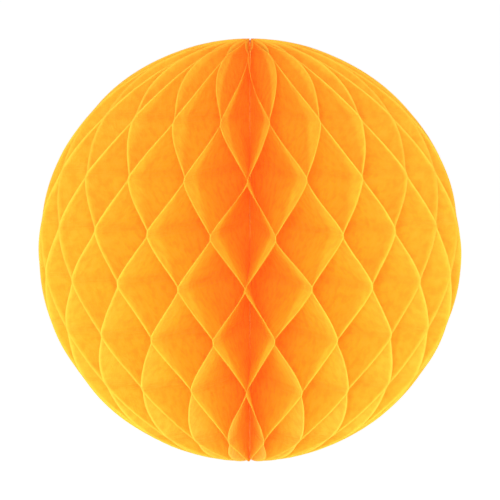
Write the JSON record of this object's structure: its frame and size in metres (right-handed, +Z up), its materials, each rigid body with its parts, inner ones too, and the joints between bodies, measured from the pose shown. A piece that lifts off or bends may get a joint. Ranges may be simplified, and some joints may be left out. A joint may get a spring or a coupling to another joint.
{
  "type": "paper honeycomb ball",
  "caption": "Round tissue-paper decoration that fans open from two half-disc boards into a ball of open honeycomb cells, held by a cord along its spine.",
  "frame": {"origin": "centre of the open ball, on its spine", "axes": "+Z up the spine; the two boards meet in the plane X = 0 on the +Y side, at the back, so -Y is the front"},
  "size_m": [0.203, 0.2029, 0.2032],
  "materials": {
    "tissue": "matte, translucent tissue",
    "board": "uncoated grey-brown chipboard",
    "cord": "twisted cotton",
    "adhesive": "clear acrylic film"
  },
  "bodies": {
    "fixed_board": {"fixed_board": "board", "spine_cord": "cord", "closure_pad_lower": "adhesive", "closure_pad_middle": "adhesive", "closure_pad_upper": "adhesive"},
    "moving_board": {"moving_board": "board"},
    "leaf_01": {"leaf_01": "tissue"},
    "leaf_02": {"leaf_02": "tissue"},
    "leaf_03": {"leaf_03": "tissue"},
    "leaf_04": {"leaf_04": "tissue"},
    "leaf_05": {"leaf_05": "tissue"},
    "leaf_06": {"leaf_06": "tissue"},
    "leaf_07": {"leaf_07": "tissue"},
    "leaf_08": {"leaf_08": "tissue"},
    "leaf_09": {"leaf_09": "tissue"},
    "leaf_10": {"leaf_10": "tissue"},
    "leaf_11": {"leaf_11": "tissue"},
    "leaf_12": {"leaf_12": "tissue"},
    "leaf_13": {"leaf_13": "tissue"},
    "leaf_14": {"leaf_14": "tissue"},
    "leaf_15": {"leaf_15": "tissue"},
    "leaf_16": {"leaf_16": "tissue"},
    "leaf_17": {"leaf_17": "tissue"},
    "leaf_18": {"leaf_18": "tissue"},
    "leaf_19": {"leaf_19": "tissue"},
    "leaf_20": {"leaf_20": "tissue"},
    "leaf_21": {"leaf_21": "tissue"},
    "leaf_22": {"leaf_22": "tissue"},
    "leaf_23": {"leaf_23": "tissue"},
    "leaf_24": {"leaf_24": "tissue"},
    "leaf_25": {"leaf_25": "tissue"},
    "leaf_26": {"leaf_26": "tissue"},
    "leaf_27": {"leaf_27": "tissue"},
    "leaf_28": {"leaf_28": "tissue"},
    "leaf_29": {"leaf_29": "tissue"},
    "leaf_30": {"leaf_30": "tissue"},
    "leaf_31": {"leaf_31": "tissue"},
    "leaf_32": {"leaf_32": "tissue"},
    "leaf_33": {"leaf_33": "tissue"},
    "leaf_34": {"leaf_34": "tissue"},
    "leaf_35": {"leaf_35": "tissue"},
    "leaf_36": {"leaf_36": "tissue"},
    "leaf_37": {"leaf_37": "tissue"},
    "leaf_38": {"leaf_38": "tissue"},
    "leaf_39": {"leaf_39": "tissue"},
    "leaf_40": {"leaf_40": "tissue"}
  },
  "joints": [
    {"name": "moving_board_fold", "type": "hinge", "parent": "fixed_board", "child": "moving_board", "pos_m": [0, 0, 0], "axis": [0, 0, 1], "range_deg": [-350, 0]},
    {"name": "leaf_01_fold", "type": "hinge", "parent": "fixed_board", "child": "leaf_01", "pos_m": [0, 0, 0], "axis": [0, 0, 1], "range_deg": [-1.79, 0], "deforming": ["leaf_01"]},
    {"name": "leaf_02_fold", "type": "hinge", "parent": "fixed_board", "child": "leaf_02", "pos_m": [0, 0, 0], "axis": [0, 0, 1], "range_deg": [-10.68, 0], "deforming": ["leaf_02"]},
    {"name": "leaf_03_fold", "type": "hinge", "parent": "fixed_board", "child": "leaf_03", "pos_m": [0, 0, 0], "axis": [0, 0, 1], "range_deg": [-19.56, 0], "deforming": ["leaf_03"]},
    {"name": "leaf_04_fold", "type": "hinge", "parent": "fixed_board", "child": "leaf_04", "pos_m": [0, 0, 0], "axis": [0, 0, 1], "range_deg": [-28.45, 0], "deforming": ["leaf_04"]},
    {"name": "leaf_05_fold", "type": "hinge", "parent": "fixed_board", "child": "leaf_05", "pos_m": [0, 0, 0], "axis": [0, 0, 1], "range_deg": [-37.33, 0], "deforming": ["leaf_05"]},
    {"name": "leaf_06_fold", "type": "hinge", "parent": "fixed_board", "child": "leaf_06", "pos_m": [0, 0, 0], "axis": [0, 0, 1], "range_deg": [-46.22, 0], "deforming": ["leaf_06"]},
    {"name": "leaf_07_fold", "type": "hinge", "parent": "fixed_board", "child": "leaf_07", "pos_m": [0, 0, 0], "axis": [0, 0, 1], "range_deg": [-55.1, 0], "deforming": ["leaf_07"]},
    {"name": "leaf_08_fold", "type": "hinge", "parent": "fixed_board", "child": "leaf_08", "pos_m": [0, 0, 0], "axis": [0, 0, 1], "range_deg": [-63.99, 0], "deforming": ["leaf_08"]},
    {"name": "leaf_09_fold", "type": "hinge", "parent": "fixed_board", "child": "leaf_09", "pos_m": [0, 0, 0], "axis": [0, 0, 1], "range_deg": [-72.87, 0], "deforming": ["leaf_09"]},
    {"name": "leaf_10_fold", "type": "hinge", "parent": "fixed_board", "child": "leaf_10", "pos_m": [0, 0, 0], "axis": [0, 0, 1], "range_deg": [-81.76, 0], "deforming": ["leaf_10"]},
    {"name": "leaf_11_fold", "type": "hinge", "parent": "fixed_board", "child": "leaf_11", "pos_m": [0, 0, 0], "axis": [0, 0, 1], "range_deg": [-90.64, 0], "deforming": ["leaf_11"]},
    {"name": "leaf_12_fold", "type": "hinge", "parent": "fixed_board", "child": "leaf_12", "pos_m": [0, 0, 0], "axis": [0, 0, 1], "range_deg": [-99.53, 0], "deforming": ["leaf_12"]},
    {"name": "leaf_13_fold", "type": "hinge", "parent": "fixed_board", "child": "leaf_13", "pos_m": [0, 0, 0], "axis": [0, 0, 1], "range_deg": [-108.41, 0], "deforming": ["leaf_13"]},
    {"name": "leaf_14_fold", "type": "hinge", "parent": "fixed_board", "child": "leaf_14", "pos_m": [0, 0, 0], "axis": [0, 0, 1], "range_deg": [-117.3, 0], "deforming": ["leaf_14"]},
    {"name": "leaf_15_fold", "type": "hinge", "parent": "fixed_board", "child": "leaf_15", "pos_m": [0, 0, 0], "axis": [0, 0, 1], "range_deg": [-126.18, 0], "deforming": ["leaf_15"]},
    {"name": "leaf_16_fold", "type": "hinge", "parent": "fixed_board", "child": "leaf_16", "pos_m": [0, 0, 0], "axis": [0, 0, 1], "range_deg": [-135.07, 0], "deforming": ["leaf_16"]},
    {"name": "leaf_17_fold", "type": "hinge", "parent": "fixed_board", "child": "leaf_17", "pos_m": [0, 0, 0], "axis": [0, 0, 1], "range_deg": [-143.95, 0], "deforming": ["leaf_17"]},
    {"name": "leaf_18_fold", "type": "hinge", "parent": "fixed_board", "child": "leaf_18", "pos_m": [0, 0, 0], "axis": [0, 0, 1], "range_deg": [-152.84, 0], "deforming": ["leaf_18"]},
    {"name": "leaf_19_fold", "type": "hinge", "parent": "fixed_board", "child": "leaf_19", "pos_m": [0, 0, 0], "axis": [0, 0, 1], "range_deg": [-161.72, 0], "deforming": ["leaf_19"]},
    {"name": "leaf_20_fold", "type": "hinge", "parent": "fixed_board", "child": "leaf_20", "pos_m": [0, 0, 0], "axis": [0, 0, 1], "range_deg": [-170.61, 0], "deforming": ["leaf_20"]},
    {"name": "leaf_21_fold", "type": "hinge", "parent": "fixed_board", "child": "leaf_21", "pos_m": [0, 0, 0], "axis": [0, 0, 1], "range_deg": [-179.49, 0], "deforming": ["leaf_21"]},
    {"name": "leaf_22_fold", "type": "hinge", "parent": "fixed_board", "child": "leaf_22", "pos_m": [0, 0, 0], "axis": [0, 0, 1], "range_deg": [-188.38, 0], "deforming": ["leaf_22"]},
    {"name": "leaf_23_fold", "type": "hinge", "parent": "fixed_board", "child": "leaf_23", "pos_m": [0, 0, 0], "axis": [0, 0, 1], "range_deg": [-197.26, 0], "deforming": ["leaf_23"]},
    {"name": "leaf_24_fold", "type": "hinge", "parent": "fixed_board", "child": "leaf_24", "pos_m": [0, 0, 0], "axis": [0, 0, 1], "range_deg": [-206.15, 0], "deforming": ["leaf_24"]},
    {"name": "leaf_25_fold", "type": "hinge", "parent": "fixed_board", "child": "leaf_25", "pos_m": [0, 0, 0], "axis": [0, 0, 1], "range_deg": [-215.03, 0], "deforming": ["leaf_25"]},
    {"name": "leaf_26_fold", "type": "hinge", "parent": "fixed_board", "child": "leaf_26", "pos_m": [0, 0, 0], "axis": [0, 0, 1], "range_deg": [-223.92, 0], "deforming": ["leaf_26"]},
    {"name": "leaf_27_fold", "type": "hinge", "parent": "fixed_board", "child": "leaf_27", "pos_m": [0, 0, 0], "axis": [0, 0, 1], "range_deg": [-232.8, 0], "deforming": ["leaf_27"]},
    {"name": "leaf_28_fold", "type": "hinge", "parent": "fixed_board", "child": "leaf_28", "pos_m": [0, 0, 0], "axis": [0, 0, 1], "range_deg": [-241.69, 0], "deforming": ["leaf_28"]},
    {"name": "leaf_29_fold", "type": "hinge", "parent": "fixed_board", "child": "leaf_29", "pos_m": [0, 0, 0], "axis": [0, 0, 1], "range_deg": [-250.57, 0], "deforming": ["leaf_29"]},
    {"name": "leaf_30_fold", "type": "hinge", "parent": "fixed_board", "child": "leaf_30", "pos_m": [0, 0, 0], "axis": [0, 0, 1], "range_deg": [-259.46, 0], "deforming": ["leaf_30"]},
    {"name": "leaf_31_fold", "type": "hinge", "parent": "fixed_board", "child": "leaf_31", "pos_m": [0, 0, 0], "axis": [0, 0, 1], "range_deg": [-268.34, 0], "deforming": ["leaf_31"]},
    {"name": "leaf_32_fold", "type": "hinge", "parent": "fixed_board", "child": "leaf_32", "pos_m": [0, 0, 0], "axis": [0, 0, 1], "range_deg": [-277.23, 0], "deforming": ["leaf_32"]},
    {"name": "leaf_33_fold", "type": "hinge", "parent": "fixed_board", "child": "leaf_33", "pos_m": [0, 0, 0], "axis": [0, 0, 1], "range_deg": [-286.11, 0], "deforming": ["leaf_33"]},
    {"name": "leaf_34_fold", "type": "hinge", "parent": "fixed_board", "child": "leaf_34", "pos_m": [0, 0, 0], "axis": [0, 0, 1], "range_deg": [-295, 0], "deforming": ["leaf_34"]},
    {"name": "leaf_35_fold", "type": "hinge", "parent": "fixed_board", "child": "leaf_35", "pos_m": [0, 0, 0], "axis": [0, 0, 1], "range_deg": [-303.88, 0], "deforming": ["leaf_35"]},
    {"name": "leaf_36_fold", "type": "hinge", "parent": "fixed_board", "child": "leaf_36", "pos_m": [0, 0, 0], "axis": [0, 0, 1], "range_deg": [-312.77, 0], "deforming": ["leaf_36"]},
    {"name": "leaf_37_fold", "type": "hinge", "parent": "fixed_board", "child": "leaf_37", "pos_m": [0, 0, 0], "axis": [0, 0, 1], "range_deg": [-321.65, 0], "deforming": ["leaf_37"]},
    {"name": "leaf_38_fold", "type": "hinge", "parent": "fixed_board", "child": "leaf_38", "pos_m": [0, 0, 0], "axis": [0, 0, 1], "range_deg": [-330.54, 0], "deforming": ["leaf_38"]},
    {"name": "leaf_39_fold", "type": "hinge", "parent": "fixed_board", "child": "leaf_39", "pos_m": [0, 0, 0], "axis": [0, 0, 1], "range_deg": [-339.42, 0], "deforming": ["leaf_39"]},
    {"name": "leaf_40_fold", "type": "hinge", "parent": "fixed_board", "child": "leaf_40", "pos_m": [0, 0, 0], "axis": [0, 0, 1], "range_deg": [-348.31, 0], "deforming": ["leaf_40"]}
  ],
  "couplings": [
    {"joint": "leaf_01_fold", "follows": "moving_board_fold", "ratio": 0.004979},
    {"joint": "leaf_02_fold", "follows": "moving_board_fold", "ratio": 0.030364},
    {"joint": "leaf_03_fold", "follows": "moving_board_fold", "ratio": 0.05575},
    {"joint": "leaf_04_fold", "follows": "moving_board_fold", "ratio": 0.081136},
    {"joint": "leaf_05_fold", "follows": "moving_board_fold", "ratio": 0.10652},
    {"joint": "leaf_06_fold", "follows": "moving_board_fold", "ratio": 0.13191},
    {"joint": "leaf_07_fold", "follows": "moving_board_fold", "ratio": 0.15729},
    {"joint": "leaf_08_fold", "follows": "moving_board_fold", "ratio": 0.18268},
    {"joint": "leaf_09_fold", "follows": "moving_board_fold", "ratio": 0.20806},
    {"joint": "leaf_10_fold", "follows": "moving_board_fold", "ratio": 0.23345},
    {"joint": "leaf_11_fold", "follows": "moving_board_fold", "ratio": 0.25884},
    {"joint": "leaf_12_fold", "follows": "moving_board_fold", "ratio": 0.28422},
    {"joint": "leaf_13_fold", "follows": "moving_board_fold", "ratio": 0.30961},
    {"joint": "leaf_14_fold", "follows": "moving_board_fold", "ratio": 0.33499},
    {"joint": "leaf_15_fold", "follows": "moving_board_fold", "ratio": 0.36038},
    {"joint": "leaf_16_fold", "follows": "moving_board_fold", "ratio": 0.38576},
    {"joint": "leaf_17_fold", "follows": "moving_board_fold", "ratio": 0.41115},
    {"joint": "leaf_18_fold", "follows": "moving_board_fold", "ratio": 0.43654},
    {"joint": "leaf_19_fold", "follows": "moving_board_fold", "ratio": 0.46192},
    {"joint": "leaf_20_fold", "follows": "moving_board_fold", "ratio": 0.48731},
    {"joint": "leaf_21_fold", "follows": "moving_board_fold", "ratio": 0.51269},
    {"joint": "leaf_22_fold", "follows": "moving_board_fold", "ratio": 0.53808},
    {"joint": "leaf_23_fold", "follows": "moving_board_fold", "ratio": 0.56346},
    {"joint": "leaf_24_fold", "follows": "moving_board_fold", "ratio": 0.58885},
    {"joint": "leaf_25_fold", "follows": "moving_board_fold", "ratio": 0.61424},
    {"joint": "leaf_26_fold", "follows": "moving_board_fold", "ratio": 0.63962},
    {"joint": "leaf_27_fold", "follows": "moving_board_fold", "ratio": 0.66501},
    {"joint": "leaf_28_fold", "follows": "moving_board_fold", "ratio": 0.69039},
    {"joint": "leaf_29_fold", "follows": "moving_board_fold", "ratio": 0.71578},
    {"joint": "leaf_30_fold", "follows": "moving_board_fold", "ratio": 0.74116},
    {"joint": "leaf_31_fold", "follows": "moving_board_fold", "ratio": 0.76655},
    {"joint": "leaf_32_fold", "follows": "moving_board_fold", "ratio": 0.79194},
    {"joint": "leaf_33_fold", "follows": "moving_board_fold", "ratio": 0.81732},
    {"joint": "leaf_34_fold", "follows": "moving_board_fold", "ratio": 0.84271},
    {"joint": "leaf_35_fold", "follows": "moving_board_fold", "ratio": 0.86809},
    {"joint": "leaf_36_fold", "follows": "moving_board_fold", "ratio": 0.89348},
    {"joint": "leaf_37_fold", "follows": "moving_board_fold", "ratio": 0.91886},
    {"joint": "leaf_38_fold", "follows": "moving_board_fold", "ratio": 0.94425},
    {"joint": "leaf_39_fold", "follows": "moving_board_fold", "ratio": 0.96964},
    {"joint": "leaf_40_fold", "follows": "moving_board_fold", "ratio": 0.99502}
  ]
}
